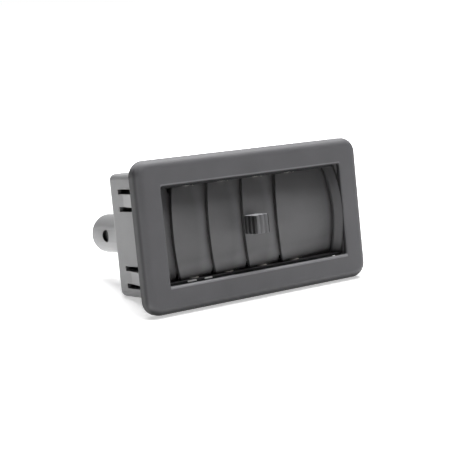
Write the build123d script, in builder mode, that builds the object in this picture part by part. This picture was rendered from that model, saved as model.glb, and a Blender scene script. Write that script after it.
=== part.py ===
from build123d import *
import os
from math import cos, radians, sin

# Rectangular defrost vent: a bezel on a deep housing, with a hose spigot at the rear.
# A barrel tilts up and down in the housing and carries a row of bowed shutter vanes.
# A tie bar links the vanes, and a thumb grip on the third one turns and tilts them all.
# Millimetres. +X is right as seen from the front, -Y is the front, +Z is up.
# The origin is the centre of the bezel's rear seating plane.

# Bezel
bezel_width = 127.0
bezel_height = 70.0
bezel_depth = 6.9
bezel_corner_radius = 7.3
bezel_front_fillet = 4.0
bezel_wall = 2.4
window_width = 102.8
window_height = 45.2
window_corner_radius = 0.8
window_edge_fillet = 0.8
locating_rim_wall = 1.2
locating_rim_height = 2.4
locating_clearance = 0.1
channel_rib_thickness = 1.2
channel_rib_height = 2.0
channel_rib_columns = 4
channel_rib_pitch = 28.0
channel_rib_rows = 2
channel_rib_row_pitch = 24.0

# Housing
housing_width = 108.3
housing_height = 58.7
housing_length = 42.2
housing_wall = 1.8
housing_corner_radius = 3.0
housing_rear_fillet = 3.0

# Snap tongues in the housing's sides
tongue_centres = (16.8, -19.5)
tongue_width = 6.0
tongue_slot = 2.3
tongue_root_y = 28.7
tongue_length = 23.0
tongue_end_gap = 1.4
barb_start_y = 24.1
barb_crest_y = 13.1
barb_height = 2.2
barb_toe_height = 0.3

# Hose spigot
spigot_x = -40.0
spigot_radius = 10.7
spigot_wall = 1.7
spigot_length = 33.4
spigot_collar = 0.9
spigot_collar_length = 1.2
spigot_rim_chamfer = 0.5
spigot_fit = 0.05
spigot_hole_radius = 3.0
spigot_hole_from_wall = 20.8

# Barrel
tilt_axis_depth = 9.1
barrel_radius = 23.2
barrel_side_clearance = 0.3
rail_inner_height = 21.55
cap_wall = 1.1
cap_rear_reach = 12.0
cheek_width = 3.1
cheek_slope_depth = 2.7
cheek_thickness = 1.6
cheek_front_depth = 0.5
cheek_arc_radius = 50.0
trunnion_radius = 4.0
trunnion_clearance = 0.08
joint_clearance = 0.05

# Vanes
vane_count = 4
vane_pitch = 19.5
vane_row_shift = -4.35
vane_closed_angle = 7.0
vane_half_height = 21.2
vane_thickness = 1.6
vane_bow = 4.8
vane_front_reach = 13.5
vane_front_sagitta = 5.4
vane_rear_reach = 24.0
vane_pin_radius = 1.0
vane_pin_length = 1.65

# Pivot bushes in the rails
bush_radius = 1.8
bush_flange_radius = 2.4
bush_flange = 0.25
bush_length = 1.35
pivot_clearance = 0.05

# Tie bar and its pins on the vanes
link_reach = 17.5
link_offset = 2.8
link_pin_radius = 1.0
link_lug_radius = 1.6
link_lug_thickness = 1.5
link_pin_length = 2.3
link_notch_start = 10.0
link_notch_height = 3.1
link_bar_width = 3.6
link_bar_thickness = 1.8
link_bar_overhang = 2.3
link_bar_gap = 0.3
link_clearance = 0.1

# Thumb grip on the third vane
grip_vane = 3
grip_width = 7.2
grip_top = 4.1
grip_bottom = -4.7
grip_reach = 11.8
grip_side_grooves = 3
grip_front_grooves = 5
grip_groove_width = 0.7
grip_groove_depth = 0.55
grip_tongue_width = 3.4
grip_tongue_height = 4.0
grip_tongue_root = 1.0
grip_tongue_clearance = 0.1

# Seals and friction washers
wiper_rib_thickness = 2.0
wiper_rib_length = 100.0
seal_width = 3.0
seal_thickness = 0.8
seal_length = 98.0
seal_clearance = 0.3
washer_radius = 6.2
washer_thickness = 1.0

# Places worked out from the sizes
bezel_front_y = -bezel_depth
bezel_inner_y = bezel_front_y + bezel_wall
housing_rear_y = bezel_inner_y + housing_length
housing_inner_width = housing_width - 2 * housing_wall
housing_inner_height = housing_height - 2 * housing_wall
tilt_axis_y = bezel_front_y + tilt_axis_depth
barrel_half_width = window_width / 2 - barrel_side_clearance
cap_inner_x = barrel_half_width - cap_wall
cheek_centre_y = bezel_front_y + cheek_front_depth + cheek_arc_radius
first_pivot_x = vane_row_shift - vane_pitch * (vane_count - 1) / 2
vane_pivots = [first_pivot_x + vane_pitch * i for i in range(vane_count)]
vane_surface_radius = (vane_half_height**2 + vane_bow**2) / (2 * vane_bow)
vane_front_n = -vane_bow - vane_thickness / 2
link_lug_z = -vane_half_height + link_notch_height
link_bar_top_z = link_lug_z - link_bar_gap
seal_z = barrel_radius + seal_clearance
wiper_rib_z = seal_z + seal_thickness
closed_cos = cos(radians(vane_closed_angle))
closed_sin = sin(radians(vane_closed_angle))

os.makedirs("parts", exist_ok=True)


def finish(builder, name):
    """Label a finished piece and write its STEP file."""
    builder.part.label = name
    export_step(builder.part, f"parts/{name}.step")


# Bezel: a hollow moulded frame with a soft outer edge and a locating rim behind
with BuildPart() as bezel_hollow:
    with BuildSketch(Plane.XZ):
        RectangleRounded(
            bezel_width - 2 * bezel_wall,
            bezel_height - 2 * bezel_wall,
            bezel_corner_radius - bezel_wall,
        )
    extrude(amount=bezel_depth - bezel_wall)
    fillet(bezel_hollow.faces().sort_by(Axis.Y)[0].edges(), bezel_front_fillet - bezel_wall)

with BuildPart() as bezel:
    with BuildSketch(Plane.XZ):
        RectangleRounded(bezel_width, bezel_height, bezel_corner_radius)
    extrude(amount=bezel_depth)
    fillet(bezel.faces().sort_by(Axis.Y)[0].edges(), bezel_front_fillet)
    add(bezel_hollow.part, mode=Mode.SUBTRACT)
    rim_inner_width = housing_width + 2 * locating_clearance
    rim_inner_height = housing_height + 2 * locating_clearance
    with BuildSketch(Plane.XZ.offset(bezel_depth - bezel_wall)):
        RectangleRounded(
            rim_inner_width + 2 * locating_rim_wall,
            rim_inner_height + 2 * locating_rim_wall,
            housing_corner_radius + locating_rim_wall,
        )
        RectangleRounded(rim_inner_width, rim_inner_height, housing_corner_radius, mode=Mode.SUBTRACT)
    extrude(amount=-locating_rim_height)
    rib_span = (bezel_height - bezel_wall - rim_inner_height - locating_rim_wall) / 2
    rib_middle = (bezel_height - bezel_wall + rim_inner_height + locating_rim_wall) / 4
    side_span = (bezel_width - bezel_wall - rim_inner_width - locating_rim_wall) / 2
    side_middle = (bezel_width - bezel_wall + rim_inner_width + locating_rim_wall) / 4
    with BuildSketch(Plane.XZ.offset(bezel_depth - bezel_wall)):
        with GridLocations(channel_rib_pitch, 2 * rib_middle, channel_rib_columns, 2):
            Rectangle(channel_rib_thickness, rib_span)
        with GridLocations(2 * side_middle, channel_rib_row_pitch, 2, channel_rib_rows):
            Rectangle(side_span, channel_rib_thickness)
    extrude(amount=-channel_rib_height)
    with BuildSketch(Plane.XZ):
        RectangleRounded(window_width, window_height, window_corner_radius)
    extrude(amount=bezel_depth, mode=Mode.SUBTRACT)
    window_edges = bezel.faces().sort_by(Axis.Y)[0].inner_wires()[0].edges()
    fillet(window_edges, window_edge_fillet)
finish(bezel, "bezel")

# Housing: a deep open box with snap tongues, trunnion holes and wiper ribs
with BuildPart() as housing_hollow:
    with BuildSketch(Plane.XZ.offset(housing_wall - housing_rear_y)):
        RectangleRounded(housing_inner_width, housing_inner_height, housing_corner_radius - housing_wall)
    extrude(amount=housing_length)
    hollow_rear = housing_hollow.faces().sort_by(Axis.Y)[-1]
    fillet(hollow_rear.edges(), housing_rear_fillet - housing_wall)

with BuildPart() as housing:
    with BuildSketch(Plane.XZ.offset(-housing_rear_y)):
        RectangleRounded(housing_width, housing_height, housing_corner_radius)
    extrude(amount=housing_length)
    fillet(housing.faces().sort_by(Axis.Y)[-1].edges(), housing_rear_fillet * 0.99)
    add(housing_hollow.part, mode=Mode.SUBTRACT)
    slot_length = tongue_length + tongue_end_gap
    for side in (-1, 1):
        outer_x = side * housing_width / 2
        with BuildSketch(Plane.YZ.offset(outer_x)):
            for centre_z in tongue_centres:
                with Locations((tongue_root_y, centre_z)):
                    Rectangle(slot_length, tongue_width + 2 * tongue_slot, align=(Align.MAX, Align.CENTER))
                    Rectangle(
                        tongue_length,
                        tongue_width,
                        align=(Align.MAX, Align.CENTER),
                        mode=Mode.SUBTRACT,
                    )
        extrude(amount=housing_wall, both=True, mode=Mode.SUBTRACT)
        barb_toe_y = tongue_root_y - tongue_length
        for centre_z in tongue_centres:
            with BuildSketch(Plane.XY.offset(centre_z - tongue_width / 2)):
                with BuildLine():
                    Polyline(
                        (outer_x - side * housing_wall / 2, barb_start_y),
                        (outer_x, barb_start_y),
                        (outer_x + side * barb_height, barb_crest_y),
                        (outer_x + side * barb_toe_height, barb_toe_y),
                        (outer_x - side * housing_wall / 2, barb_toe_y),
                        close=True,
                    )
                make_face()
            extrude(amount=tongue_width)
    with BuildSketch(Plane.YZ):
        with Locations((tilt_axis_y, 0)):
            Circle(trunnion_radius + trunnion_clearance)
    extrude(amount=housing_width, both=True, mode=Mode.SUBTRACT)
    with BuildSketch(Plane.XZ.offset(-housing_rear_y)):
        with Locations((spigot_x, 0)):
            Circle(spigot_radius + spigot_fit)
    extrude(amount=2 * housing_wall, mode=Mode.SUBTRACT)
    rib_height = housing_height / 2 - housing_wall / 2 - wiper_rib_z
    with BuildSketch(Plane.YZ):
        with GridLocations(0, 2 * wiper_rib_z + rib_height, 1, 2):
            with Locations((tilt_axis_y, 0)):
                Rectangle(wiper_rib_thickness, rib_height)
    extrude(amount=wiper_rib_length / 2, both=True)
finish(housing, "housing")

# Hose spigot: a plain tube set in the rear wall, with a root collar and a cross hole
with BuildPart() as hose_spigot:
    with BuildSketch(Plane.XZ.offset(housing_wall - housing_rear_y)):
        with Locations((spigot_x, 0)):
            Circle(spigot_radius)
    extrude(amount=-(spigot_length + housing_wall))
    with BuildSketch(Plane.XZ.offset(-housing_rear_y)):
        with Locations((spigot_x, 0)):
            Circle(spigot_radius + spigot_collar)
    extrude(amount=-spigot_collar_length)
    rim = hose_spigot.faces().sort_by(Axis.Y)[-1]
    chamfer(rim.edges(), spigot_rim_chamfer)
    with BuildSketch(Plane.XZ.offset(housing_wall - housing_rear_y)):
        with Locations((spigot_x, 0)):
            Circle(spigot_radius - spigot_wall)
    extrude(amount=-(spigot_length + housing_wall), mode=Mode.SUBTRACT)
    with BuildSketch(Plane.YZ.offset(spigot_x)):
        with Locations((housing_rear_y + spigot_hole_from_wall, 0)):
            Circle(spigot_hole_radius)
    extrude(amount=-2 * spigot_radius, mode=Mode.SUBTRACT)
finish(hose_spigot, "hose_spigot")

# Seal strips: felt on the wiper ribs above and below the barrel
for side, name in ((1, "upper_seal_strip"), (-1, "lower_seal_strip")):
    with BuildPart() as seal_strip:
        with BuildSketch(Plane.YZ):
            with Locations((tilt_axis_y, side * (seal_z + seal_thickness / 2))):
                Rectangle(seal_width, seal_thickness)
        extrude(amount=seal_length / 2, both=True)
    finish(seal_strip, name)

# Friction washers: rings round the trunnions, against the housing's side walls
for side, name in ((-1, "left_friction_washer"), (1, "right_friction_washer")):
    with BuildPart() as friction_washer:
        with BuildSketch(Plane.YZ.offset(side * housing_inner_width / 2)):
            with Locations((tilt_axis_y, 0)):
                Circle(washer_radius)
                Circle(trunnion_radius + trunnion_clearance, mode=Mode.SUBTRACT)
        extrude(amount=-side * washer_thickness)
    finish(friction_washer, name)

# Barrel rails: slices of the barrel's round, bored for the vanes' bushes
for side, name in ((1, "barrel_upper_rail"), (-1, "barrel_lower_rail")):
    with BuildPart() as rail:
        with BuildSketch(Plane.YZ):
            with Locations((tilt_axis_y, 0)):
                Circle(barrel_radius)
            with Locations((tilt_axis_y, side * (rail_inner_height - barrel_radius))):
                Rectangle(2 * barrel_radius, 2 * barrel_radius, mode=Mode.SUBTRACT)
        extrude(amount=cap_inner_x, both=True)
        with BuildSketch(Plane.XY):
            with Locations(*[(pivot_x, tilt_axis_y) for pivot_x in vane_pivots]):
                Circle(bush_radius)
        extrude(amount=side * 2 * barrel_radius, mode=Mode.SUBTRACT)
    finish(rail, name)

# Barrel caps: a side plate and a sloping front cheek turned about one axis, and a trunnion
with BuildPart() as barrel_right_cap:
    cheek_inner_x = barrel_half_width - cheek_width
    cheek_front_y = bezel_front_y + cheek_front_depth
    cheek_slope = cheek_slope_depth / cheek_width
    cheek_root_y = cheek_front_y + cap_wall * cheek_slope + cheek_thickness
    cap_rear_y = tilt_axis_y + cap_rear_reach
    with BuildSketch(Plane.XY):
        with BuildLine():
            Polyline(
                (barrel_half_width, cheek_front_y),
                (cheek_inner_x, cheek_front_y + cheek_slope_depth),
                (cheek_inner_x, cheek_front_y + cheek_slope_depth + cheek_thickness),
                (cap_inner_x, cheek_root_y),
                (cap_inner_x, cap_rear_y),
                (barrel_half_width, cap_rear_y),
                close=True,
            )
        make_face()
    revolve(axis=Axis((0, cheek_centre_y, 0), (1, 0, 0)))
    with BuildSketch(Plane.YZ.offset(cheek_inner_x)):
        with Locations((tilt_axis_y, 0)):
            Circle(barrel_radius)
    extrude(amount=cheek_width, mode=Mode.INTERSECT)
    rail_end_z = rail_inner_height - joint_clearance
    with BuildSketch(Plane.YZ.offset(cheek_inner_x)):
        with GridLocations(0, 2 * rail_end_z + barrel_radius, 1, 2):
            with Locations((tilt_axis_y, 0)):
                Rectangle(2 * barrel_radius, barrel_radius)
    extrude(amount=cap_inner_x - cheek_inner_x, mode=Mode.SUBTRACT)
    with BuildSketch(Plane.YZ.offset(barrel_half_width)):
        with Locations((tilt_axis_y, 0)):
            Circle(trunnion_radius)
    extrude(amount=housing_width / 2 - barrel_half_width)
finish(barrel_right_cap, "barrel_right_cap")

with BuildPart() as barrel_left_cap:
    mirror(barrel_right_cap.part, about=Plane.YZ)
finish(barrel_left_cap, "barrel_left_cap")

# Vane bushes: flanged rings pressed into the rails, one under each vane pin
for side, name in ((1, "upper_vane_bushes"), (-1, "lower_vane_bushes")):
    with BuildPart() as vane_bushes:
        with BuildSketch(Plane.XY.offset(side * rail_inner_height)):
            with Locations(*[(pivot_x, tilt_axis_y) for pivot_x in vane_pivots]):
                Circle(bush_radius)
        extrude(amount=side * bush_length)
        with BuildSketch(Plane.XY.offset(side * rail_inner_height)):
            with Locations(*[(pivot_x, tilt_axis_y) for pivot_x in vane_pivots]):
                Circle(bush_flange_radius)
        extrude(amount=-side * bush_flange)
        with BuildSketch(Plane.XY.offset(side * (rail_inner_height - bush_flange))):
            with Locations(*[(pivot_x, tilt_axis_y) for pivot_x in vane_pivots]):
                Circle(vane_pin_radius + pivot_clearance)
        extrude(amount=side * (bush_length + bush_flange), mode=Mode.SUBTRACT)
    finish(vane_bushes, name)

# Vanes: bowed plates that overlap like shingles, each on a pin above and below
for number, pivot_x in enumerate(vane_pivots, start=1):
    pivot = (pivot_x, tilt_axis_y, 0)
    chord = (closed_cos, closed_sin, 0)
    rearward = (-closed_sin, closed_cos, 0)
    forward = (closed_sin, -closed_cos, 0)
    # Plan plane: x along the chord, y to the vane's rear. Section plane: x to the rear, y up.
    plan = Plane(origin=pivot, x_dir=chord, z_dir=(0, 0, 1))
    section = Plane(origin=pivot, x_dir=rearward, z_dir=chord)
    face = Plane(origin=pivot, x_dir=chord, z_dir=forward)
    with BuildPart() as vane:
        with BuildSketch(section.offset(-vane_front_reach)):
            with BuildLine():
                front_n = -vane_thickness / 2
                rear_n = vane_thickness / 2
                ThreePointArc(
                    (front_n, -vane_half_height),
                    (front_n - vane_bow, 0),
                    (front_n, vane_half_height),
                )
                Line((front_n, vane_half_height), (rear_n, vane_half_height))
                ThreePointArc(
                    (rear_n, vane_half_height),
                    (rear_n - vane_bow, 0),
                    (rear_n, -vane_half_height),
                )
                Line((rear_n, -vane_half_height), (front_n, -vane_half_height))
            make_face()
        extrude(amount=vane_front_reach + vane_rear_reach)
        with BuildSketch(face):
            with BuildLine():
                edge_s = vane_front_sagitta - vane_front_reach
                ThreePointArc(
                    (edge_s, -vane_half_height),
                    (-vane_front_reach, 0),
                    (edge_s, vane_half_height),
                )
                Polyline(
                    (edge_s, vane_half_height),
                    (vane_rear_reach, vane_half_height),
                    (vane_rear_reach, link_lug_z),
                    (link_notch_start, link_lug_z),
                    (link_notch_start, -vane_half_height),
                    (edge_s, -vane_half_height),
                )
            make_face()
        extrude(amount=vane_bow + vane_thickness, both=True, mode=Mode.INTERSECT)
        for side in (-1, 1):
            with BuildSketch(plan.offset(side * vane_half_height)):
                Circle(vane_pin_radius)
            extrude(amount=side * vane_pin_length)
            with BuildSketch(plan.offset(side * vane_half_height)):
                Circle(vane_pin_radius)
            extrude(amount=-side * vane_pin_radius)
        with BuildSketch(plan.offset(link_lug_z)):
            lug_root_n = -vane_bow * (1 - (link_lug_z / vane_half_height) ** 2)
            with Locations((link_reach, link_offset)):
                Circle(link_lug_radius)
                Rectangle(
                    2 * link_lug_radius,
                    link_offset - lug_root_n,
                    align=(Align.CENTER, Align.MAX),
                )
        extrude(amount=link_lug_thickness)
        with BuildSketch(plan.offset(link_lug_z)):
            with Locations((link_reach, link_offset)):
                Circle(link_pin_radius)
        extrude(amount=-link_pin_length)
        if number == grip_vane:
            tongue_s = grip_width / 2 - vane_front_reach
            with BuildSketch(face):
                with Locations((tongue_s, 0)):
                    Rectangle(
                        grip_tongue_width + 2 * grip_tongue_clearance,
                        grip_tongue_height + 2 * grip_tongue_clearance,
                    )
            extrude(amount=vane_bow + vane_thickness, both=True, mode=Mode.SUBTRACT)
    finish(vane, f"vane_{number}")

# Tie bar: a flat bar with a hole for each vane's link pin
link_x = link_reach * closed_cos - link_offset * closed_sin
link_y = tilt_axis_y + link_reach * closed_sin + link_offset * closed_cos
with BuildPart() as tie_bar:
    link_span = vane_pitch * (vane_count - 1)
    link_middle_x = vane_row_shift + link_x
    with BuildSketch(Plane.XY.offset(link_bar_top_z)):
        with Locations((link_middle_x, link_y)):
            SlotOverall(link_span + 2 * link_bar_overhang, link_bar_width)
        with Locations(*[(pivot_x + link_x, link_y) for pivot_x in vane_pivots]):
            Circle(link_pin_radius + link_clearance, mode=Mode.SUBTRACT)
    extrude(amount=-link_bar_thickness)
finish(tie_bar, "tie_bar")

# Thumb grip: a ridged block seated on the vane's bow, with a tongue pressed into the vane
grip_pivot = (vane_pivots[grip_vane - 1], tilt_axis_y, 0)
grip_chord = (closed_cos, closed_sin, 0)
grip_plan = Plane(origin=grip_pivot, x_dir=grip_chord, z_dir=(0, 0, 1))
grip_section = Plane(origin=grip_pivot, x_dir=(-closed_sin, closed_cos, 0), z_dir=grip_chord)
with BuildPart() as thumb_grip:
    grip_height = grip_top - grip_bottom
    grip_middle_z = (grip_top + grip_bottom) / 2
    grip_tip_n = vane_front_n - grip_reach
    with BuildSketch(grip_plan.offset(grip_bottom)):
        with Locations((-vane_front_reach, grip_tip_n)):
            Rectangle(grip_width, grip_reach + vane_bow, align=(Align.MIN, Align.MIN))
    extrude(amount=grip_height)
    with BuildSketch(grip_section.offset(-vane_front_reach)):
        with Locations((vane_front_n + vane_surface_radius, 0)):
            Circle(vane_surface_radius)
    extrude(amount=grip_width, mode=Mode.SUBTRACT)
    side_groove_pitch = grip_reach / (grip_side_grooves + 1)
    front_groove_pitch = grip_width / (grip_front_grooves + 1)
    with BuildSketch(grip_plan.offset(grip_bottom)):
        with Locations((-vane_front_reach, grip_tip_n + grip_reach / 2)):
            with GridLocations(0, side_groove_pitch, 1, grip_side_grooves):
                Rectangle(2 * grip_groove_depth, grip_groove_width)
        with Locations((grip_width / 2 - vane_front_reach, grip_tip_n)):
            with GridLocations(front_groove_pitch, 0, grip_front_grooves, 1):
                Rectangle(grip_groove_width, 2 * grip_groove_depth)
    extrude(amount=grip_height, mode=Mode.SUBTRACT)
    with BuildSketch(grip_section.offset(grip_width / 2 - vane_front_reach)):
        with Locations((vane_front_n - grip_tongue_root, 0)):
            Rectangle(
                grip_tongue_root + vane_thickness,
                grip_tongue_height,
                align=(Align.MIN, Align.CENTER),
            )
    extrude(amount=grip_tongue_width / 2, both=True)
finish(thumb_grip, "thumb_grip")
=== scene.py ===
import logging
import math
from dataclasses import dataclass
from enum import Enum

import bmesh
import bpy
from mathutils import Matrix, Vector


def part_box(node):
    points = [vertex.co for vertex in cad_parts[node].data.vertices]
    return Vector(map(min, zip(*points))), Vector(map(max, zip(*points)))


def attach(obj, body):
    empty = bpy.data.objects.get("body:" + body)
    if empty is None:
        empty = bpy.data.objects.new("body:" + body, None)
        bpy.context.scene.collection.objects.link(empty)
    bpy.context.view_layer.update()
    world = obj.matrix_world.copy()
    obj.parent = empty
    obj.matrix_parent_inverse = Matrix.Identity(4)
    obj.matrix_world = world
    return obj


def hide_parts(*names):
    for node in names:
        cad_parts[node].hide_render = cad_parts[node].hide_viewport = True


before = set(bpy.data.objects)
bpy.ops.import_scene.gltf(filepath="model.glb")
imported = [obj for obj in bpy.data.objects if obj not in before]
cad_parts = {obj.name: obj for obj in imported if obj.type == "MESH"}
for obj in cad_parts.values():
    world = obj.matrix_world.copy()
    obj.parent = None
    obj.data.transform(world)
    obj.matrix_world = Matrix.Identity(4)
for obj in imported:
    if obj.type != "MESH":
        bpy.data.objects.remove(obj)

LOG = logging.getLogger("defrost_vent")
MM = 0.001

NOISE_LOW = 0.3
NOISE_HIGH = 0.7
SHARP_ANGLE = 30.0
FACET_SHARP_ANGLE = 50.0
SOFTEN_ANGLE = 40.0
SOFTEN_SEGMENTS = 2
ROD_SOFT_SHARE = 0.25
SPIGOT_X = -39.0 * MM
SPIGOT_Z = -1.43 * MM
SPIGOT_HOLE_Y = 56.4 * MM

Triple = tuple[float, float, float]
Color = Triple
Socket = bpy.types.NodeSocket


class Body(Enum):
    """Rigid bodies of the vent, by their names in the frame."""

    CASE = "case"
    BARREL = "barrel"


class Slot(Enum):
    """Material slots of the record."""

    DARK_PLASTIC = "dark_plastic"
    GREY_PLASTIC = "grey_plastic"
    BLACK_PLASTIC = "black_plastic"
    VANE_PLASTIC = "vane_plastic"
    GRIP_PLASTIC = "grip_plastic"
    NATURAL_NYLON = "natural_nylon"
    FELT = "felt"
    RUBBER = "rubber"


class ShaderTree:
    """A material's node tree, with short calls to add and join nodes."""

    def __init__(self, name: str) -> None:
        """Make a new material with a Principled shader.

        Args:
            name: The material's name.
        """
        self.material = bpy.data.materials.new(name)
        self.material.use_nodes = True
        self.nodes = self.material.node_tree.nodes
        self.links = self.material.node_tree.links
        self.shader = self.nodes["Principled BSDF"]

    def add(self, kind: str, **settings: object) -> bpy.types.Node:
        """Add a node and set its properties.

        Args:
            kind: The node's type name.
            **settings: Node properties by name.

        Returns:
            The new node.
        """
        node = self.nodes.new(kind)
        for key, value in settings.items():
            setattr(node, key, value)
        return node

    def join(self, source: Socket, target: Socket) -> None:
        """Link one socket to another.

        Args:
            source: The output socket.
            target: The input socket.
        """
        self.links.new(source, target)

    def place(self) -> Socket:
        """Add the object's own coordinates, in metres.

        Returns:
            Their socket.
        """
        return self.add("ShaderNodeTexCoord").outputs["Object"]

    def noise(self, place: Socket, scale: float, detail: float) -> Socket:
        """Add a noise texture.

        Args:
            place: The coordinates it follows.
            scale: Features per metre.
            detail: Octaves of finer noise.

        Returns:
            The noise value's socket.
        """
        node = self.add("ShaderNodeTexNoise")
        node.inputs["Scale"].default_value = scale
        node.inputs["Detail"].default_value = detail
        self.join(place, node.inputs["Vector"])
        return node.outputs["Fac"]

    def spread(self, value: Socket, low: float, high: float) -> Socket:
        """Map a noise value to a range.

        Args:
            value: A noise socket, mostly between NOISE_LOW and NOISE_HIGH.
            low: Result at the lower end.
            high: Result at the upper end.

        Returns:
            The mapped value's socket.
        """
        node = self.add("ShaderNodeMapRange")
        node.inputs["From Min"].default_value = NOISE_LOW
        node.inputs["From Max"].default_value = NOISE_HIGH
        node.inputs["To Min"].default_value = low
        node.inputs["To Max"].default_value = high
        self.join(value, node.inputs["Value"])
        return node.outputs["Result"]

    def tint(self, factor: Socket, dark: Color, light: Color) -> Socket:
        """Mix two colours.

        Args:
            factor: The mixing value's socket.
            dark: Colour at 0.
            light: Colour at 1.

        Returns:
            The mixed colour's socket.
        """
        node = self.add("ShaderNodeMix", data_type="RGBA")
        # Sockets 6, 7 and output 2 are the mix node's colour sockets.
        node.inputs[6].default_value = (*dark, 1.0)
        node.inputs[7].default_value = (*light, 1.0)
        self.join(factor, node.inputs[0])
        return node.outputs[2]

    def ramp(self, value: Socket, start: float, end: float, high: float = 1.0) -> Socket:
        """Map a value smoothly to 0 at a start and to a high value at an end.

        Args:
            value: The value's socket.
            start: Where the result is 0.
            end: Where the result is high.
            high: The result at the end.

        Returns:
            The result's socket.
        """
        node = self.add("ShaderNodeMapRange", interpolation_type="SMOOTHSTEP")
        node.inputs["From Min"].default_value = start
        node.inputs["From Max"].default_value = end
        node.inputs["To Max"].default_value = high
        self.join(value, node.inputs["Value"])
        return node.outputs["Result"]

    def math(self, operation: str, first: Socket, second: Socket | float | None = None) -> Socket:
        """Add a math node.

        Args:
            operation: Its operation.
            first: Its first value's socket.
            second: Its second value, a socket or a number, or None where it takes one.

        Returns:
            The result's socket.
        """
        node = self.add("ShaderNodeMath", operation=operation)
        self.join(first, node.inputs[0])
        if isinstance(second, float):
            node.inputs[1].default_value = second
        elif second is not None:
            self.join(second, node.inputs[1])
        return node.outputs[0]

    def vector(
        self, operation: str, first: Socket, second: Triple = (0.0, 0.0, 0.0)
    ) -> bpy.types.Node:
        """Add a vector node with a fixed second vector.

        Args:
            operation: Its operation.
            first: Its first vector's socket.
            second: Its second vector.

        Returns:
            The node.
        """
        node = self.add("ShaderNodeVectorMath", operation=operation)
        self.join(first, node.inputs[0])
        node.inputs[1].default_value = second
        return node

    def gain(self, color: Socket, factor: Socket) -> Socket:
        """Scale a colour by one plus a factor.

        Args:
            color: The colour's socket.
            factor: The factor's socket.

        Returns:
            The scaled colour's socket.
        """
        node = self.add("ShaderNodeVectorMath", operation="SCALE")
        self.join(color, node.inputs[0])
        self.join(self.math("ADD", factor, 1.0), node.inputs["Scale"])
        return node.outputs[0]

    def bump(self, height: Socket, strength: float, depth: float) -> None:
        """Give the shader a bumped normal.

        Args:
            height: The height's socket.
            strength: The bump's strength.
            depth: The bump's depth in metres.
        """
        node = self.add("ShaderNodeBump")
        node.inputs["Strength"].default_value = strength
        node.inputs["Distance"].default_value = depth
        self.join(height, node.inputs["Height"])
        self.join(node.outputs["Normal"], self.shader.inputs["Normal"])


def shade(color: Color, factor: float) -> Color:
    """Make a colour lighter or darker.

    Args:
        color: The colour.
        factor: What its channels are multiplied by.

    Returns:
        The changed colour.
    """
    return tuple(channel * factor for channel in color)


@dataclass(frozen=True)
class PaintedFacingLight:
    """Painted light and shade on faces that look one way.

    Attributes:
        direction: The way, in the part's own axes.
        start: Cosine where the change begins.
        full: Cosine where it is full.
        gain: Added share of the tone as painted light, minus for painted shade.
    """

    direction: Triple
    start: float
    full: float
    gain: float


@dataclass(frozen=True)
class MouldedPlastic:
    """A moulded plastic with a fine tool grain, slow flow variation and painted light and shade by
    facing.
    """

    name: str
    color: Color
    roughness: float = 0.55
    specular: float = 0.5
    grain_scale: float = 4200.0
    grain_depth: float = 0.00006
    grain_strength: float = 0.35
    grain_detail: float = 2.0
    grain_share: float = 0.45
    flow_scale: float = 55.0
    flow_detail: float = 3.0
    tone_contrast: float = 0.13
    roughness_spread: float = 0.04
    painted_facing_light: tuple[PaintedFacingLight, ...] = ()

    def detail(self, tree: ShaderTree, place: Socket, color: Socket) -> Socket:
        """Paint light and shade by the place on the part; the plain finish paints nothing.

        Args:
            tree: The material's tree; not used by the plain finish.
            place: The coordinates; not used by the plain finish.
            color: The colour's socket.

        Returns:
            The changed colour's socket.
        """
        return color

    def material(self) -> bpy.types.Material:
        """Build the finish's material.

        Returns:
            The new material.
        """
        tree = ShaderTree(self.name)
        place = tree.place()
        flow = tree.noise(place, self.flow_scale, self.flow_detail)
        grain = tree.noise(place, self.grain_scale, self.grain_detail)
        blend = tree.add("ShaderNodeMath", operation="MULTIPLY_ADD")
        blend.inputs[1].default_value = self.grain_share
        tree.join(grain, blend.inputs[0])
        tree.join(tree.math("MULTIPLY", flow, 1 - self.grain_share), blend.inputs[2])
        factor = tree.spread(blend.outputs[0], 0.0, 1.0)
        dark = shade(self.color, 1 - self.tone_contrast)
        light = shade(self.color, 1 + self.tone_contrast)
        color = tree.tint(factor, dark, light)
        # Painted light and shade: faces that look one way are made lighter or darker.
        for painted_facing in self.painted_facing_light:
            normal = tree.add("ShaderNodeTexCoord").outputs["Normal"]
            toward = tree.vector("DOT_PRODUCT", normal, painted_facing.direction).outputs["Value"]
            color = tree.gain(color, tree.ramp(toward, painted_facing.start, painted_facing.full, painted_facing.gain))
        color = self.detail(tree, place, color)
        tree.join(color, tree.shader.inputs["Base Color"])
        low = self.roughness - self.roughness_spread
        rough = tree.spread(flow, low, self.roughness + self.roughness_spread)
        tree.join(rough, tree.shader.inputs["Roughness"])
        tree.shader.inputs["Specular IOR Level"].default_value = self.specular
        tree.bump(grain, self.grain_strength, self.grain_depth)
        return tree.material


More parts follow.
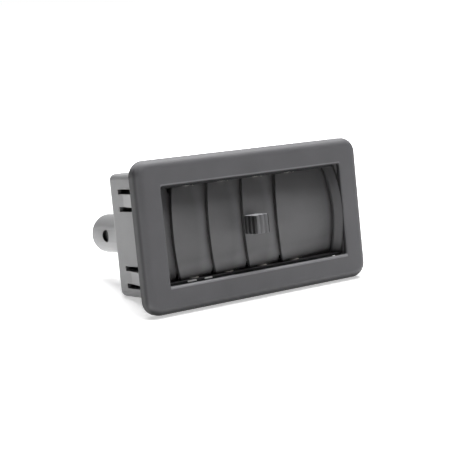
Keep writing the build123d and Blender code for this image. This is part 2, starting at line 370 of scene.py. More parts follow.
@dataclass(frozen=True)
class LipHighlightPlastic(MouldedPlastic):
    """A moulded plastic with painted highlights on the lips above and below the window."""

    lip_x: float = 51.4 * MM
    lip_z: float = 23.5 * MM
    lip_y: float = -5.9 * MM
    lip_blend: float = 0.35 * MM
    lower_highlight: float = 1.0
    upper_highlight: float = 0.55

    def detail(self, tree: ShaderTree, place: Socket, color: Socket) -> Socket:
        """Paint a highlight on the upper and lower lip of the window.

        Args:
            tree: The material's tree.
            place: The coordinates.
            color: The colour's socket.

        Returns:
            The changed colour's socket.
        """
        split = tree.add("ShaderNodeSeparateXYZ")
        tree.join(place, split.inputs[0])
        up = split.outputs["Z"]
        outer_x, outer_z = self.lip_x + self.lip_blend, self.lip_z + self.lip_blend
        inside = tree.ramp(tree.math("ABSOLUTE", split.outputs["X"]), outer_x, self.lip_x)
        front = tree.ramp(split.outputs["Y"], self.lip_y + self.lip_blend, self.lip_y)
        inside = tree.math("MULTIPLY", inside, front)
        upper = tree.ramp(up, outer_z, self.lip_z, self.upper_highlight)
        lower = tree.ramp(up, -outer_z, -self.lip_z, self.lower_highlight)
        above = tree.ramp(up, -self.lip_blend, self.lip_blend)
        below = tree.ramp(up, self.lip_blend, -self.lip_blend)
        upper = tree.math("MULTIPLY", upper, above)
        lower = tree.math("MULTIPLY", lower, below)
        # Painted highlights along the window's upper and lower lips.
        lips = tree.math("ADD", upper, lower)
        return tree.gain(color, tree.math("MULTIPLY", lips, inside))


@dataclass(frozen=True)
class BoredPlastic(MouldedPlastic):
    """A moulded plastic with painted shade inside a bore along Y and in a hole in its left side.
    """

    bore_centre: Triple = (SPIGOT_X, 0.0, SPIGOT_Z)
    bore_radius: float = 8.6 * MM
    wall_radius: float = 9.2 * MM
    hole_centre: Triple = (0.0, SPIGOT_HOLE_Y, SPIGOT_Z)
    hole_radius: float = 3.2 * MM
    hole_blend: float = 0.15 * MM
    bore_painted_shade: float = -0.95

    def detail(self, tree: ShaderTree, place: Socket, color: Socket) -> Socket:
        """Paint shade into the bore and onto the side hole's bottom.

        Args:
            tree: The material's tree.
            place: The coordinates.
            color: The colour's socket.

        Returns:
            The changed colour's socket.
        """
        radius = self.distance(tree, place, self.bore_centre, (1.0, 0.0, 1.0))
        bore = tree.ramp(radius, self.wall_radius, self.bore_radius, self.bore_painted_shade)
        color = tree.gain(color, bore)
        radius = self.distance(tree, place, self.hole_centre, (0.0, 1.0, 1.0))
        inner = self.hole_radius - self.hole_blend
        hole = tree.ramp(radius, self.hole_radius, inner, self.bore_painted_shade)
        left = tree.vector("DOT_PRODUCT", place, (-1.0, 0.0, 0.0)).outputs["Value"]
        middle = -self.bore_centre[0]
        left = tree.ramp(left, middle, middle + self.hole_blend)
        return tree.gain(color, tree.math("MULTIPLY", hole, left))

    def distance(self, tree: ShaderTree, place: Socket, centre: Triple, mask: Triple) -> Socket:
        """Add the distance from an axis.

        Args:
            tree: The material's tree.
            place: The coordinates.
            centre: A point on the axis.
            mask: 1 for each direction that counts, 0 along the axis.

        Returns:
            The distance's socket.
        """
        offset = tree.vector("SUBTRACT", place, centre).outputs[0]
        across = tree.vector("MULTIPLY", offset, mask).outputs[0]
        return tree.vector("LENGTH", across).outputs["Value"]


@dataclass(frozen=True)
class VanePlastic(MouldedPlastic):
    """A vane's plastic with painted light beside the next vane and at its foot, lifting the shade
    there.
    """

    painted_light_start: float = 0.0
    painted_light_end: float = 1.0
    painted_light_gain: float = 0.42
    foot_start: float = -12.0 * MM
    foot_end: float = -19.5 * MM
    foot_painted_light: float = 0.9

    def detail(self, tree: ShaderTree, place: Socket, color: Socket) -> Socket:
        """Paint light on the side beside the next vane and on the foot.

        Args:
            tree: The material's tree.
            place: The coordinates.
            color: The colour's socket.

        Returns:
            The changed colour's socket.
        """
        split = tree.add("ShaderNodeSeparateXYZ")
        tree.join(place, split.inputs[0])
        # Painted light that lifts the shade beside the next vane and above the lower lip.
        painted_light = tree.ramp(split.outputs["X"], self.painted_light_start, self.painted_light_end, self.painted_light_gain)
        foot = tree.ramp(split.outputs["Z"], self.foot_start, self.foot_end, self.foot_painted_light)
        return tree.gain(tree.gain(color, painted_light), foot)


@dataclass(frozen=True)
class FeltCloth:
    """Pressed felt: matted fibres with a soft sheen."""

    name: str
    color: Color
    roughness: float = 0.95
    sheen: float = 0.4
    fibre_scale: float = 2600.0
    fibre_detail: float = 6.0
    fibre_depth: float = 0.0003
    fibre_strength: float = 0.8
    dark_share: float = 0.6
    light_share: float = 1.5

    def material(self) -> bpy.types.Material:
        """Build the finish's material.

        Returns:
            The new material.
        """
        tree = ShaderTree(self.name)
        place = tree.place()
        fibre = tree.noise(place, self.fibre_scale, self.fibre_detail)
        factor = tree.spread(fibre, 0.0, 1.0)
        dark = shade(self.color, self.dark_share)
        color = tree.tint(factor, dark, shade(self.color, self.light_share))
        tree.join(color, tree.shader.inputs["Base Color"])
        tree.shader.inputs["Roughness"].default_value = self.roughness
        tree.shader.inputs["Sheen Weight"].default_value = self.sheen
        tree.bump(fibre, self.fibre_strength, self.fibre_depth)
        return tree.material


LEFT: Triple = (-1.0, 0.0, 0.0)
UP: Triple = (0.0, 0.0, 1.0)
DOWN: Triple = (0.0, 0.0, -1.0)
HOUSING_COLOR: Color = (0.30, 0.30, 0.305)
BEZEL_FINISH = LipHighlightPlastic(
    "bezel_grained_charcoal",
    (0.148, 0.147, 0.155),
    # Painted shade on the bezel's left side and bottom fillet, and a painted highlight on its top
    # fillet.
    painted_facing_light=(
        PaintedFacingLight(LEFT, 0.75, 0.97, -0.68),
        PaintedFacingLight(DOWN, 0.2, 0.7, -0.85),
        PaintedFacingLight(UP, 0.3, 0.8, 0.15),
    ),
)
HOUSING_FINISH = MouldedPlastic(
    "housing_smooth_grey", HOUSING_COLOR, roughness=0.45, grain_strength=0.15
)
# The spigot carries painted shade in its bore and side hole.
SPIGOT_FINISH = BoredPlastic(
    "spigot_smooth_grey", HOUSING_COLOR, roughness=0.4, grain_strength=0.12
)
# Dark plastic, darkened further as painted shade on the rails under the window's lips.
BARREL_BLACK_AND_SHADE_FINISH = MouldedPlastic(
    "barrel_satin_black", (0.03, 0.03, 0.032), roughness=0.6, specular=0.3
)
VANE_COLOR: Color = (0.145, 0.144, 0.148)
# Painted shade on the left-facing edge faces of the vanes and the closing plate.
VANE_EDGE_SHADE = PaintedFacingLight(LEFT, 0.7, 0.95, -0.6)
CLOSING_FINISH = MouldedPlastic("closing_grained_charcoal", VANE_COLOR, painted_facing_light=(VANE_EDGE_SHADE,))
CAP_FINISH = MouldedPlastic("cap_grained_charcoal", (0.126, 0.125, 0.129))
# Painted shade on the grip's left faces and a painted highlight on its top.
GRIP_FINISH = MouldedPlastic(
    "grip_satin_charcoal",
    (0.17, 0.17, 0.177),
    roughness=0.42,
    painted_facing_light=(PaintedFacingLight(LEFT, 0.4, 0.85, -0.85), PaintedFacingLight(UP, 0.4, 0.9, 2.0)),
)
# Pale bars that paint the light seen below the first vane.
PAINTED_LIGHT_BAR_FINISH = MouldedPlastic(
    "bar_light_grey", (0.75, 0.75, 0.74), roughness=0.4, grain_strength=0.1
)
BUSH_FINISH = MouldedPlastic(
    "bush_natural_nylon", (0.72, 0.70, 0.64), roughness=0.35, grain_strength=0.1
)
FELT_FINISH = FeltCloth("seal_black_felt", (0.03, 0.03, 0.032))
RUBBER_FINISH = MouldedPlastic("washer_black_rubber", (0.035, 0.035, 0.036), roughness=0.8)


def dress(node: str, material: bpy.types.Material) -> None:
    """Give a frame node its finish.

    Args:
        node: The node's name.
        material: The finish's material.
    """
    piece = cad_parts[node]
    if not piece.data.materials:
        piece.data.materials.append(material)
    for index in range(len(piece.material_slots)):
        piece.material_slots[index].material = material
    LOG.info("dressed %s with %s", node, material.name)


def make_piece(
    name: str, mesh: bpy.types.Mesh, sharp_angle: float = SHARP_ANGLE
) -> bpy.types.Object:
    """Make an object of a mesh, smooth but for its sharp edges.

    Args:
        name: The piece's name.
        mesh: Its mesh.
        sharp_angle: Edges sharper than this, in degrees, stay sharp.

    Returns:
        The new object.
    """
    mesh.shade_smooth()
    mesh.set_sharp_from_angle(angle=math.radians(sharp_angle))
    piece = bpy.data.objects.new(name, mesh)
    bpy.context.scene.collection.objects.link(piece)
    return piece


def soften(piece: bpy.types.Object, width: float) -> None:
    """Round a piece's sharp edges.

    Args:
        piece: The piece.
        width: The rounding's width in metres.
    """
    bevel = piece.modifiers.new("soft_edges", "BEVEL")
    bevel.width = width
    bevel.segments = SOFTEN_SEGMENTS
    bevel.limit_method = "ANGLE"
    bevel.angle_limit = math.radians(SOFTEN_ANGLE)


def carve(piece: bpy.types.Object, cutter: bpy.types.Object) -> None:
    """Cut one piece out of another and remove the cutter.

    Args:
        piece: The piece that is cut.
        cutter: The shape that is taken out.
    """
    cut = piece.modifiers.new("carve", "BOOLEAN")
    cut.object = cutter
    cut.operation = "DIFFERENCE"
    cut.solver = "EXACT"
    graph = bpy.context.evaluated_depsgraph_get()
    mesh = bpy.data.meshes.new_from_object(piece.evaluated_get(graph))
    piece.modifiers.clear()
    piece.data = mesh
    bpy.data.objects.remove(cutter)


def loft_rings(bm: bmesh.types.BMesh, rings: list[list[Vector]]) -> None:
    """Skin a row of closed rings of equal length and cap both ends.

    Args:
        bm: The mesh being built.
        rings: The rings' points, in order.
    """
    rows = [[bm.verts.new(point) for point in ring] for ring in rings]
    count = len(rows[0])
    for near, far in zip(rows, rows[1:]):
        for index in range(count):
            after = (index + 1) % count
            bm.faces.new((near[index], near[after], far[after], far[index]))
    bm.faces.new(list(reversed(rows[0])))
    bm.faces.new(rows[-1])


def finish_mesh(bm: bmesh.types.BMesh, name: str) -> bpy.types.Mesh:
    """Turn a built shape into a mesh with outward normals.

    Args:
        bm: The built shape, which is freed.
        name: The mesh's name.

    Returns:
        The mesh.
    """
    bmesh.ops.recalc_face_normals(bm, faces=bm.faces)
    mesh = bpy.data.meshes.new(name)
    bm.to_mesh(mesh)
    bm.free()
    return mesh


def add_rod(
    bm: bmesh.types.BMesh, start: Vector, end: Vector, radius: float, segments: int = 28
) -> None:
    """Add a round rod with a softened far end.

    Args:
        bm: The mesh being built.
        start: The centre of its first end.
        end: The centre of its far end.
        radius: Its radius.
        segments: Facets round it.
    """
    axis = (end - start).normalized()
    side = axis.orthogonal().normalized()
    other = axis.cross(side)
    length = (end - start).length
    soft = min(radius, length) * ROD_SOFT_SHARE
    rings = []
    for along, size in ((0.0, radius), (length - soft, radius), (length, radius - soft)):
        ring = []
        for index in range(segments):
            angle = 2 * math.pi * index / segments
            spoke = math.cos(angle) * side + math.sin(angle) * other
            ring.append(start + along * axis + size * spoke)
        rings.append(ring)
    loft_rings(bm, rings)


@dataclass(frozen=True)
class BowPlate:
    """The bowed section that the vanes and the closing plate share."""

    half_height: float = 21.2 * MM
    bow: float = 4.8 * MM
    thickness: float = 1.6 * MM
    axis_depth: float = 2.2 * MM
    closed_angle: float = 7.0
    steps: int = 40

    def point(self, pivot: float, along: float, out: float, up: float) -> Vector:
        """Place a point by its distances from a pivot.

        Args:
            pivot: The pivot's X.
            along: Distance along the chord.
            out: Distance to the plate's rear.
            up: Height.

        Returns:
            The point in the row frame.
        """
        turn = math.radians(self.closed_angle)
        x = pivot + along * math.cos(turn) - out * math.sin(turn)
        y = self.axis_depth + along * math.sin(turn) + out * math.cos(turn)
        return Vector((x, y, up))

    def sag(self, up: float) -> float:
        """Work out how far the bow falls back from its apex.

        Args:
            up: The height.

        Returns:
            The distance to the rear.
        """
        radius = (self.half_height**2 + self.bow**2) / (2 * self.bow)
        return radius - math.sqrt(radius**2 - up**2)

    def add(
        self, bm: bmesh.types.BMesh, pivot: float, start: float, end: float, sagitta: float
    ) -> None:
        """Add a bowed plate.

        Args:
            bm: The mesh being built.
            pivot: The pivot's X.
            start: Where the front edge's apex stands along the chord.
            end: Where the rear edge stands along the chord.
            sagitta: How far the front edge falls back at its ends.
        """
        rings = []
        for step in range(self.steps + 1):
            up = -self.half_height + 2 * self.half_height * step / self.steps
            share = (up / self.half_height) ** 2
            front = start + sagitta * share
            face = self.sag(up) - self.bow
            out_front = face - self.thickness / 2
            out_rear = face + self.thickness / 2
            corners = ((front, out_front), (end, out_front), (end, out_rear), (front, out_rear))
            rings.append([self.point(pivot, along, out, up) for along, out in corners])
        loft_rings(bm, rings)


@dataclass
class Case:
    """The fixed casing: bezel, housing, spigot, seals and washers."""

    spigot_radius: float = 9.67 * MM
    spigot_bore: float = 7.95 * MM
    spigot_root_y: float = 35.9 * MM
    spigot_rim_y: float = 70.9 * MM
    spigot_rim_round: float = 0.5 * MM
    rim_corner_share: float = 0.3
    wall_rear_y: float = 37.7 * MM
    flange_radius: float = 12.8 * MM
    flange_depth: float = 1.1 * MM
    hole_radius: float = 3.0 * MM
    hole_floor: float = 8.35 * MM
    hole_steps: int = 48
    spigot_steps: int = 96

    def build_spigot(self) -> None:
        """Build the hose spigot: a tube with a soft rim, a root flange and a side hole."""
        soft = self.spigot_rim_round
        corner = soft * self.rim_corner_share
        bore, outside, flange = self.spigot_bore, self.spigot_radius, self.flange_radius
        rim_y = self.spigot_rim_y
        root_y = self.wall_rear_y + self.flange_depth
        profile = [
            (bore, self.spigot_root_y),
            (outside, self.spigot_root_y),
            (outside, self.wall_rear_y),
            (flange, self.wall_rear_y),
            (flange, root_y - soft / 2),
            (flange - soft / 2, root_y),
            (outside + soft, root_y),
            (outside + soft / 3, root_y + soft / 3),
            (outside, root_y + soft),
            (outside, rim_y - soft),
            (outside - corner, rim_y - corner),
            (outside - soft, rim_y),
            (bore + soft, rim_y),
            (bore + corner, rim_y - corner),
            (bore, rim_y - soft),
        ]
        bm = bmesh.new()
        rows = []
        for radius, depth in profile:
            row = []
            for step in range(self.spigot_steps):
                angle = 2 * math.pi * step / self.spigot_steps
                x = SPIGOT_X + radius * math.cos(angle)
                z = SPIGOT_Z + radius * math.sin(angle)
                row.append(bm.verts.new((x, depth, z)))
            rows.append(row)
        for near, far in zip(rows, rows[1:] + rows[:1]):
            for step in range(self.spigot_steps):
                after = (step + 1) % self.spigot_steps
                bm.faces.new((near[step], near[after], far[after], far[step]))
        spigot = make_piece("spigot_tube", finish_mesh(bm, "spigot_tube"))
        drill = bmesh.new()
        bottom = Vector((SPIGOT_X - self.hole_floor, SPIGOT_HOLE_Y, SPIGOT_Z))
        outward = bottom - Vector((self.spigot_radius, 0, 0))
        add_rod(drill, bottom, outward, self.hole_radius, self.hole_steps)
        carve(spigot, make_piece("drill", finish_mesh(drill, "drill")))
        spigot.data.set_sharp_from_angle(angle=math.radians(SHARP_ANGLE))
        spigot.data.materials.clear()
        spigot.data.materials.append(SPIGOT_FINISH.material())
        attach(spigot, Body.CASE.value)
        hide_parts("hose_spigot")
        LOG.info("built the hose spigot")

    def build(self) -> None:
        """Dress the casing's nodes and build the spigot."""
        dress("bezel", BEZEL_FINISH.material())
        dress("housing", HOUSING_FINISH.material())
        self.build_spigot()
        felt = FELT_FINISH.material()
        rubber = RUBBER_FINISH.material()
        for side in ("upper", "lower"):
            dress(f"{side}_seal_strip", felt)
        for side in ("left", "right"):
            dress(f"{side}_friction_washer", rubber)


@dataclass
class Barrel:
    """The tilting barrel: rails, caps and vane bushes."""

    plate: BowPlate = BowPlate()
    radius: float = 23.2 * MM
    half_width: float = 51.1 * MM
    cap_wall: float = 1.1 * MM
    rear_y: float = 14.2 * MM
    closing_pivot: float = -53.1 * MM
    closing_end: float = 9.7 * MM
    trunnion_radius: float = 4.0 * MM
    trunnion_end: float = 54.15 * MM
    outline_steps: int = 120
    rail_inner: float = 21.55 * MM
    rail_front_y: float = -3.3 * MM
    rail_half_width: float = 50.0 * MM
    rail_steps: int = 24
    bars: tuple[tuple[float, float], ...] = (
        (-40.4 * MM, -35.6 * MM),
        (-31.2 * MM, -27.0 * MM),
    )
    bar_y: tuple[float, float] = (-3.55 * MM, -3.0 * MM)
    bar_z: tuple[float, float] = (-22.35 * MM, -21.6 * MM)
    bar_round: float = 0.1 * MM

    def build_rail(self, node: str, side: int, material: bpy.types.Material) -> None:
        """Build a rail: a slice of the barrel's round with a trimmed front.

        Args:
            node: The node it replaces.
            side: 1 for the upper rail, -1 for the lower one.
            material: Its finish.
        """
        axis_y = self.plate.axis_depth
        rear_y = axis_y + math.sqrt(self.radius**2 - self.rail_inner**2)
        profile = [(self.rail_front_y, self.rail_inner)]
        for step in range(self.rail_steps):
            depth = self.rail_front_y + (rear_y - self.rail_front_y) * step / self.rail_steps
            profile.append((depth, math.sqrt(self.radius**2 - (depth - axis_y) ** 2)))
        profile.append((rear_y, self.rail_inner))
        bm = bmesh.new()
        ends = (-self.rail_half_width, self.rail_half_width)
        loft_rings(bm, [[Vector((x, y, side * z)) for y, z in profile] for x in ends])
        rail = make_piece(f"{node}_slice", finish_mesh(bm, f"{node}_slice"))
        rail.data.materials.append(material)
        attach(rail, Body.BARREL.value)
        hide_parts(node)
        LOG.info("built %s", node)

    def build_bars(self) -> None:
        """Build the two pale bars on the lower rail's front, which paint the light seen below the
        first vane.
        """
        bm = bmesh.new()
        y_low, y_high = self.bar_y
        z_low, z_high = self.bar_z
        for x_low, x_high in self.bars:
            corners = ((y_low, z_low), (y_high, z_low), (y_high, z_high), (y_low, z_high))
            loft_rings(bm, [[Vector((x, y, z)) for y, z in corners] for x in (x_low, x_high)])
        bars = make_piece("rail_bars", finish_mesh(bm, "rail_bars"))
        soften(bars, self.bar_round)
        bars.data.materials.append(PAINTED_LIGHT_BAR_FINISH.material())
        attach(bars, Body.BARREL.value)
        LOG.info("built the rail's bars")

    def build_left_cap(self) -> None:
        """Build the left cap: side plate, trunnion and the bowed plate behind the first vane."""
        plate = self.plate
        turn = math.radians(plate.closed_angle)
        start = (self.closing_pivot + self.half_width) / -math.cos(turn)
        edge = plate.point(self.closing_pivot, start, -plate.bow - plate.thickness / 2, 0.0)
        bm = bmesh.new()
        plate.add(bm, self.closing_pivot, start, self.closing_end, 0.0)
        outline = []
        for step in range(self.outline_steps):
            angle = 2 * math.pi * step / self.outline_steps
            up = self.radius * math.sin(angle)
            depth = plate.axis_depth + self.radius * math.cos(angle)
            depth = min(max(depth, edge.y + plate.sag(up)), self.rear_y)
            outline.append((depth, up))
        faces = (-self.half_width, self.cap_wall - self.half_width)
        loft_rings(bm, [[Vector((x, y, z)) for y, z in outline] for x in faces])
        axis_y = plate.axis_depth
        add_rod(
            bm,
            Vector((-self.half_width, axis_y, 0)),
            Vector((-self.trunnion_end, axis_y, 0)),
            self.trunnion_radius,
        )
        cap = make_piece("left_cap", finish_mesh(bm, "left_cap"))
        cap.data.materials.append(CLOSING_FINISH.material())
        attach(cap, Body.BARREL.value)
        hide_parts("barrel_left_cap")
        LOG.info("built the left cap")

    def build(self) -> None:
        """Build the rails, the left cap and the bars, and dress the barrel's other nodes."""
        satin = BARREL_BLACK_AND_SHADE_FINISH.material()
        nylon = BUSH_FINISH.material()
        self.build_rail("barrel_upper_rail", 1, satin)
        self.build_rail("barrel_lower_rail", -1, satin)
        dress("barrel_right_cap", CAP_FINISH.material())
        self.build_left_cap()
        self.build_bars()
        for side in ("upper", "lower"):
            dress(f"{side}_vane_bushes", nylon)


@dataclass
class ShutterVanes:
    """The row of bowed vanes, their tie bar and the thumb grip."""

    count: int = 4
    plate: BowPlate = BowPlate()
    first_pivot: float = -33.6 * MM
    pitch: float = 19.5 * MM
    front_reach: float = 13.5 * MM
    front_sagitta: float = 5.4 * MM
    rear_reach: float = 24.0 * MM
    pin_radius: float = 1.0 * MM
    pin_length: float = 1.65 * MM
    link_reach: float = 17.5 * MM
    link_offset: float = 2.8 * MM
    link_lug_up: float = -18.1 * MM
    link_lug_thickness: float = 1.5 * MM
    link_lug_radius: float = 1.6 * MM
    link_web_share: float = 0.9
    link_pin_length: float = 2.3 * MM
    edge_round: float = 0.25 * MM
    painted_light_width: float = 5.5 * MM
    grip_vane: int = 3
    grip_width: float = 8.4 * MM
    grip_reach: float = 8.3 * MM
    grip_top: float = 4.1 * MM
    grip_bottom: float = -4.7 * MM
    grip_sink: float = 0.35 * MM
    grip_ease: tuple[tuple[float, float], ...] = (
        (0.0, 0.90),
        (0.08 * MM, 0.95),
        (0.3 * MM, 0.985),
        (0.6 * MM, 1.0),
    )
    ridge_pitch: float = 2.8 * MM
    ridge_depth: float = 0.5 * MM
    ridge_sharpness: float = 1.5
    ridge_steps: int = 14
    nib_along: float = 4.3 * MM
    nib_radius: float = 0.45 * MM
    nib_length_share: float = 1.3
    nib_steps: int = 16

    def pivot(self, number: int) -> float:
        """Work out the X of a vane's pivot.

        Args:
            number: The vane's number, from 1 at the left.

        Returns:
            The pivot's X.
        """
        return self.first_pivot + self.pitch * (number - 1)

    def vane_finish(self, number: int) -> VanePlastic:
        """Work out a vane's finish, with painted light where its visible part ends.

        Args:
            number: The vane's number.

        Returns:
            The finish.
        """
        end = self.rear_reach if number == self.count else self.pitch - self.front_reach
        edge = self.pivot(number) + end
        return VanePlastic(
            f"vane_{number}_grained_charcoal",
            VANE_COLOR,
            painted_facing_light=(VANE_EDGE_SHADE,),
            painted_light_start=edge - self.painted_light_width,
            painted_light_end=edge,
        )

    def build_last_vane(self) -> None:
        """Build the last vane, whose lower rear corner is whole."""
        plate = self.plate
        pivot = self.pivot(self.count)
        bm = bmesh.new()
        plate.add(bm, pivot, -self.front_reach, self.rear_reach, self.front_sagitta)
        for side in (-1, 1):
            foot = plate.point(pivot, 0.0, 0.0, side * (plate.half_height - self.pin_radius))
            tip = plate.point(pivot, 0.0, 0.0, side * (plate.half_height + self.pin_length))
            add_rod(bm, foot, tip, self.pin_radius)
        lug_low = plate.point(pivot, self.link_reach, self.link_offset, self.link_lug_up)
        lug_high = lug_low + Vector((0, 0, self.link_lug_thickness))
        add_rod(bm, lug_low, lug_high, self.link_lug_radius)
        add_rod(bm, lug_low, lug_low - Vector((0, 0, self.link_pin_length)), self.pin_radius)
        web = self.link_lug_radius * self.link_web_share
        tip = self.link_offset
        reach = self.link_reach
        rings = []
        for up in (self.link_lug_up, self.link_lug_up + self.link_lug_thickness):
            root = plate.sag(up) - plate.bow
            corners = ((-web, root), (web, root), (web, tip), (-web, tip))
            rings.append([plate.point(pivot, reach + along, out, up) for along, out in corners])
        loft_rings(bm, rings)
        vane = make_piece("last_vane", finish_mesh(bm, "last_vane"))
        soften(vane, self.edge_round)
        vane.data.materials.append(self.vane_finish(self.count).material())
        body = f"vane_{self.count}"
        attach(vane, body)
        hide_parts(body)
        LOG.info("built the last vane")

    def ridge(self, along: float, length: float) -> float:
        """Work out how deep a ridged face lies at a place along it.

        The middle of the face is a ridge where their number is odd, and a groove where it is even.

        Args:
            along: Distance from the face's first corner.
            length: The face's length.

        Returns:
            The depth below the ridges' tops.
        """
        phase = (along - length / 2) / self.ridge_pitch
        if round(length / self.ridge_pitch) % 2 == 0:
            phase += 0.5
        wave = 0.5 - 0.5 * math.cos(2 * math.pi * phase)
        return self.ridge_depth * wave**self.ridge_sharpness

    def grip_outline(self) -> list[tuple[float, float]]:
        """Work out the grip's ridged outline, seen from above.

        Returns:
            Points as distances along the vane's chord and to its rear.
        """
        near = -self.front_reach
        far = near + self.grip_width
        root = -self.plate.bow - self.plate.thickness / 2 + self.grip_sink
        tip = root - self.grip_sink - self.grip_reach
        length = root - tip
        count = int(length / self.ridge_pitch * self.ridge_steps)
        left = []
        for step in range(count + 1):
            run = length * step / count
            left.append((near + self.ridge(length - run, length), root - run))
        count = int(self.grip_width / self.ridge_pitch * self.ridge_steps)
        front = []
        for step in range(1, count):
            run = self.grip_width * step / count
            front.append((near + run, tip + self.ridge(run, self.grip_width)))
        right = [(near + far - along, out) for along, out in reversed(left)]
        return left + front + right

    def build_grip(self) -> None:
        """Build the thumb grip with its rounded ridges and soft ends."""
        outline = self.grip_outline()
        pivot = self.pivot(self.grip_vane)
        mid_along = sum(along for along, _ in outline) / len(outline)
        mid_out = sum(out for _, out in outline) / len(outline)
        levels = [(self.grip_bottom + depth, scale) for depth, scale in self.grip_ease]
        levels += [(self.grip_top - depth, scale) for depth, scale in reversed(self.grip_ease)]
        rings = []
        for up, scale in levels:
            ring = []
            for along, out in outline:
                wide = mid_along + (along - mid_along) * scale
                deep = mid_out + (out - mid_out) * (scale if out < mid_out else 1.0)
                ring.append(self.plate.point(pivot, wide, deep, up))
            rings.append(ring)
        bm = bmesh.new()
        loft_rings(bm, rings)
        grip = make_piece("ridged_grip", finish_mesh(bm, "ridged_grip"), FACET_SHARP_ANGLE)
        grip.data.materials.append(GRIP_FINISH.material())
        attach(grip, f"vane_{self.grip_vane}")
        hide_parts("thumb_grip")
        LOG.info("built the thumb grip")

    def build_nibs(self) -> None:
        """Build the small bright nibs at the vanes' ends, which paint the highlight specks there.
        """
        nylon = BUSH_FINISH.material()
        plate = self.plate
        for number in range(1, self.count + 1):
            bm = bmesh.new()
            for side in (-1, 1):
                up = side * plate.half_height
                out = plate.sag(plate.half_height) - plate.bow - plate.thickness / 2
                foot = plate.point(self.pivot(number), self.nib_along, out + self.nib_radius, up)
                centre = foot - Vector((0, 0, side * self.nib_radius))
                tip = centre - Vector((0, self.nib_length_share * self.nib_radius, 0))
                add_rod(bm, centre, tip, self.nib_radius, self.nib_steps)
            name = f"vane_{number}_nibs"
            nibs = make_piece(name, finish_mesh(bm, name), FACET_SHARP_ANGLE)
            nibs.data.materials.append(nylon)
            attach(nibs, f"vane_{number}")
        LOG.info("built the vanes' nibs")

    def build(self) -> None:
        """Build the vanes and what moves them."""
        for number in range(1, self.count):
            dress(f"vane_{number}", self.vane_finish(number).material())
        self.build_last_vane()
        dress("tie_bar", BARREL_BLACK_AND_SHADE_FINISH.material())
        self.build_grip()
        self.build_nibs()


@dataclass(frozen=True)
class SoftBox:
    """A square studio lamp, placed from the vent's middle on the floor.

    Attributes:
        name: The lamp's name.
        right: Metres to the right.
        rear: Metres to the rear.
        up: Metres above the floor.
        size: Its side in metres.
        power: Its power in watts.
    """

    name: str
    right: float
    rear: float
    up: float
    size: float
    power: float


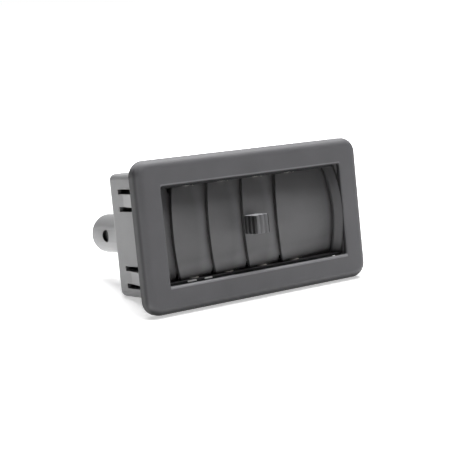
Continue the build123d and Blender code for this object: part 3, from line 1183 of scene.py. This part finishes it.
@dataclass
class Studio:
    """The pale floor that the vent leans back on, the lamps and the world.

    The bezel's lower rear edge and the housing's lower rear edge rest on the floor.
    """

    housing_rear_fillet: float = 3.0 * MM
    floor_size: float = 9.0
    floor_color: Color = (0.93, 0.93, 0.93)
    floor_roughness: float = 0.9
    floor_specular: float = 0.1
    floor_glow: float = 0.5
    world_strength: float = 0.05
    glow_start: float = 0.12
    glow_end: float = 0.45
    glow_far: float = 1.0
    aim_height: float = 0.03
    soft_boxes: tuple[SoftBox, ...] = (
        SoftBox("overhead_box", 0.2, 0.08, 0.9, 0.7, 12.5),
        SoftBox("rear_overhead_box", 0.05, 0.8, 0.8, 0.6, 5.0),
    )

    def floor_frame(self) -> tuple[Vector, Vector, Vector, Vector]:
        """Work out the plane under the vent.

        Returns:
            A point on the floor, and the directions right, to the rear and up.
        """
        bezel_low, bezel_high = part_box("bezel")
        housing_low, housing_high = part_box("housing")
        edge = Vector((0, bezel_high.y, bezel_low.z))
        radius = self.housing_rear_fillet
        centre = Vector((0, housing_high.y - radius, housing_low.z + radius))
        reach = centre - edge
        slope = math.atan2(reach.z, reach.y) - math.asin(radius / reach.length)
        rear = Vector((0, math.cos(slope), math.sin(slope)))
        up = Vector((0, -math.sin(slope), math.cos(slope)))
        return edge, Vector((1, 0, 0)), rear, up

    def place(self, right: float, rear: float, up: float) -> Vector:
        """Turn studio distances into a point of the frame.

        Args:
            right: Metres to the right of the vent's middle.
            rear: Metres behind the bezel's lower edge.
            up: Metres above the floor.

        Returns:
            The point in the row frame.
        """
        edge, x_axis, y_axis, z_axis = self.floor_frame()
        return edge + right * x_axis + rear * y_axis + up * z_axis

    def build_floor(self) -> None:
        """Build the floor, white to the camera but for the vent's shadow."""
        edge, right, rear, up = self.floor_frame()
        half = self.floor_size / 2
        corners = [(-half, -half), (half, -half), (half, half), (-half, half)]
        points = [edge + x * right + y * rear for x, y in corners]
        mesh = bpy.data.meshes.new("floor")
        mesh.from_pydata([tuple(point) for point in points], [], [(0, 1, 2, 3)])
        floor = bpy.data.objects.new("floor", mesh)
        bpy.context.scene.collection.objects.link(floor)
        tree = ShaderTree("floor_paper")
        tree.shader.inputs["Base Color"].default_value = (*self.floor_color, 1.0)
        tree.shader.inputs["Roughness"].default_value = self.floor_roughness
        tree.shader.inputs["Specular IOR Level"].default_value = self.floor_specular
        tree.shader.inputs["Emission Color"].default_value = (1.0, 1.0, 1.0, 1.0)
        path = tree.add("ShaderNodeLightPath")
        seen = tree.math("MAXIMUM", path.outputs["Is Camera Ray"], path.outputs["Is Glossy Ray"])
        reach = tree.vector("LENGTH", tree.place())
        rise = tree.add("ShaderNodeMapRange", interpolation_type="SMOOTHSTEP")
        rise.inputs["From Min"].default_value = self.glow_start
        rise.inputs["From Max"].default_value = self.glow_end
        rise.inputs["To Min"].default_value = self.floor_glow
        rise.inputs["To Max"].default_value = self.glow_far
        tree.join(reach.outputs["Value"], rise.inputs["Value"])
        glow = tree.math("MULTIPLY", seen, rise.outputs["Result"])
        tree.join(glow, tree.shader.inputs["Emission Strength"])
        mesh.materials.append(tree.material)

    def build_world(self) -> None:
        """Light the surroundings softly and show them white to the camera."""
        world = bpy.data.worlds.new("studio_world")
        bpy.context.scene.world = world
        world.use_nodes = True
        nodes = world.node_tree.nodes
        links = world.node_tree.links
        background = nodes["Background"]
        background.inputs["Color"].default_value = (1.0, 1.0, 1.0, 1.0)
        path = nodes.new("ShaderNodeLightPath")
        strength = nodes.new("ShaderNodeMix")
        # Sockets 2 and 3 are the mix node's plain values.
        strength.inputs[2].default_value = self.world_strength
        strength.inputs[3].default_value = 1.0
        links.new(path.outputs["Is Camera Ray"], strength.inputs[0])
        links.new(strength.outputs[0], background.inputs["Strength"])

    def hang(self, box: SoftBox) -> None:
        """Hang a soft box and aim it at the vent.

        Args:
            box: The lamp's place, size and power.
        """
        light = bpy.data.lights.new(box.name, "AREA")
        light.shape = "SQUARE"
        light.size = box.size
        light.energy = box.power
        lamp = bpy.data.objects.new(box.name, light)
        bpy.context.scene.collection.objects.link(lamp)
        lamp.location = self.place(box.right, box.rear, box.up)
        aim = self.place(0.0, 0.0, self.aim_height) - lamp.location
        lamp.rotation_euler = aim.to_track_quat("-Z", "Y").to_euler()

    def build(self) -> None:
        """Build the floor, the world and the lamps."""
        self.build_floor()
        self.build_world()
        for box in self.soft_boxes:
            self.hang(box)
        LOG.info("built the studio")


@dataclass
class PhotoCamera:
    """The camera at the photograph's place, from its fitted angles and distance."""

    azimuth: float = -33.4
    elevation: float = 4.92
    roll: float = -5.75
    pan_right: float = 16.18 * MM
    pan_down: float = -1.22 * MM
    distance: float = 541.52 * MM
    focal_pixels: float = 1150.0
    image_pixels: float = 450.0
    sensor: float = 36.0
    near_clip: float = 0.01

    def build(self) -> None:
        """Create the camera and make it the scene's own."""
        azimuth = math.radians(self.azimuth)
        elevation = math.radians(self.elevation)
        roll = math.radians(self.roll)
        level = math.cos(elevation)
        back = Vector((math.sin(azimuth) * level, -math.cos(azimuth) * level, math.sin(elevation)))
        level_right = (-back).cross(Vector((0, 0, 1))).normalized()
        level_up = level_right.cross(-back)
        right = math.cos(roll) * level_right + math.sin(roll) * level_up
        up = -math.sin(roll) * level_right + math.cos(roll) * level_up
        bezel_low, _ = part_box("bezel")
        face = Vector((0, bezel_low.y, 0))
        centre = face - self.pan_right * right + self.pan_down * up + self.distance * back
        data = bpy.data.cameras.new("photo_camera")
        data.lens = self.focal_pixels / self.image_pixels * self.sensor
        data.sensor_width = self.sensor
        data.clip_start = self.near_clip
        camera = bpy.data.objects.new("photo_camera", data)
        bpy.context.scene.collection.objects.link(camera)
        columns = Matrix((right, up, back)).transposed().to_4x4()
        camera.matrix_world = Matrix.Translation(centre) @ columns
        bpy.context.scene.camera = camera
        LOG.info("placed the camera")


def main() -> None:
    """Build the vent's looks, the studio and the camera."""
    logging.basicConfig(level=logging.INFO)
    bpy.context.scene.view_settings.view_transform = "Standard"
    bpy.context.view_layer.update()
    Case().build()
    Barrel().build()
    ShutterVanes().build()
    Studio().build()
    PhotoCamera().build()


if __name__ == "__main__":
    main()
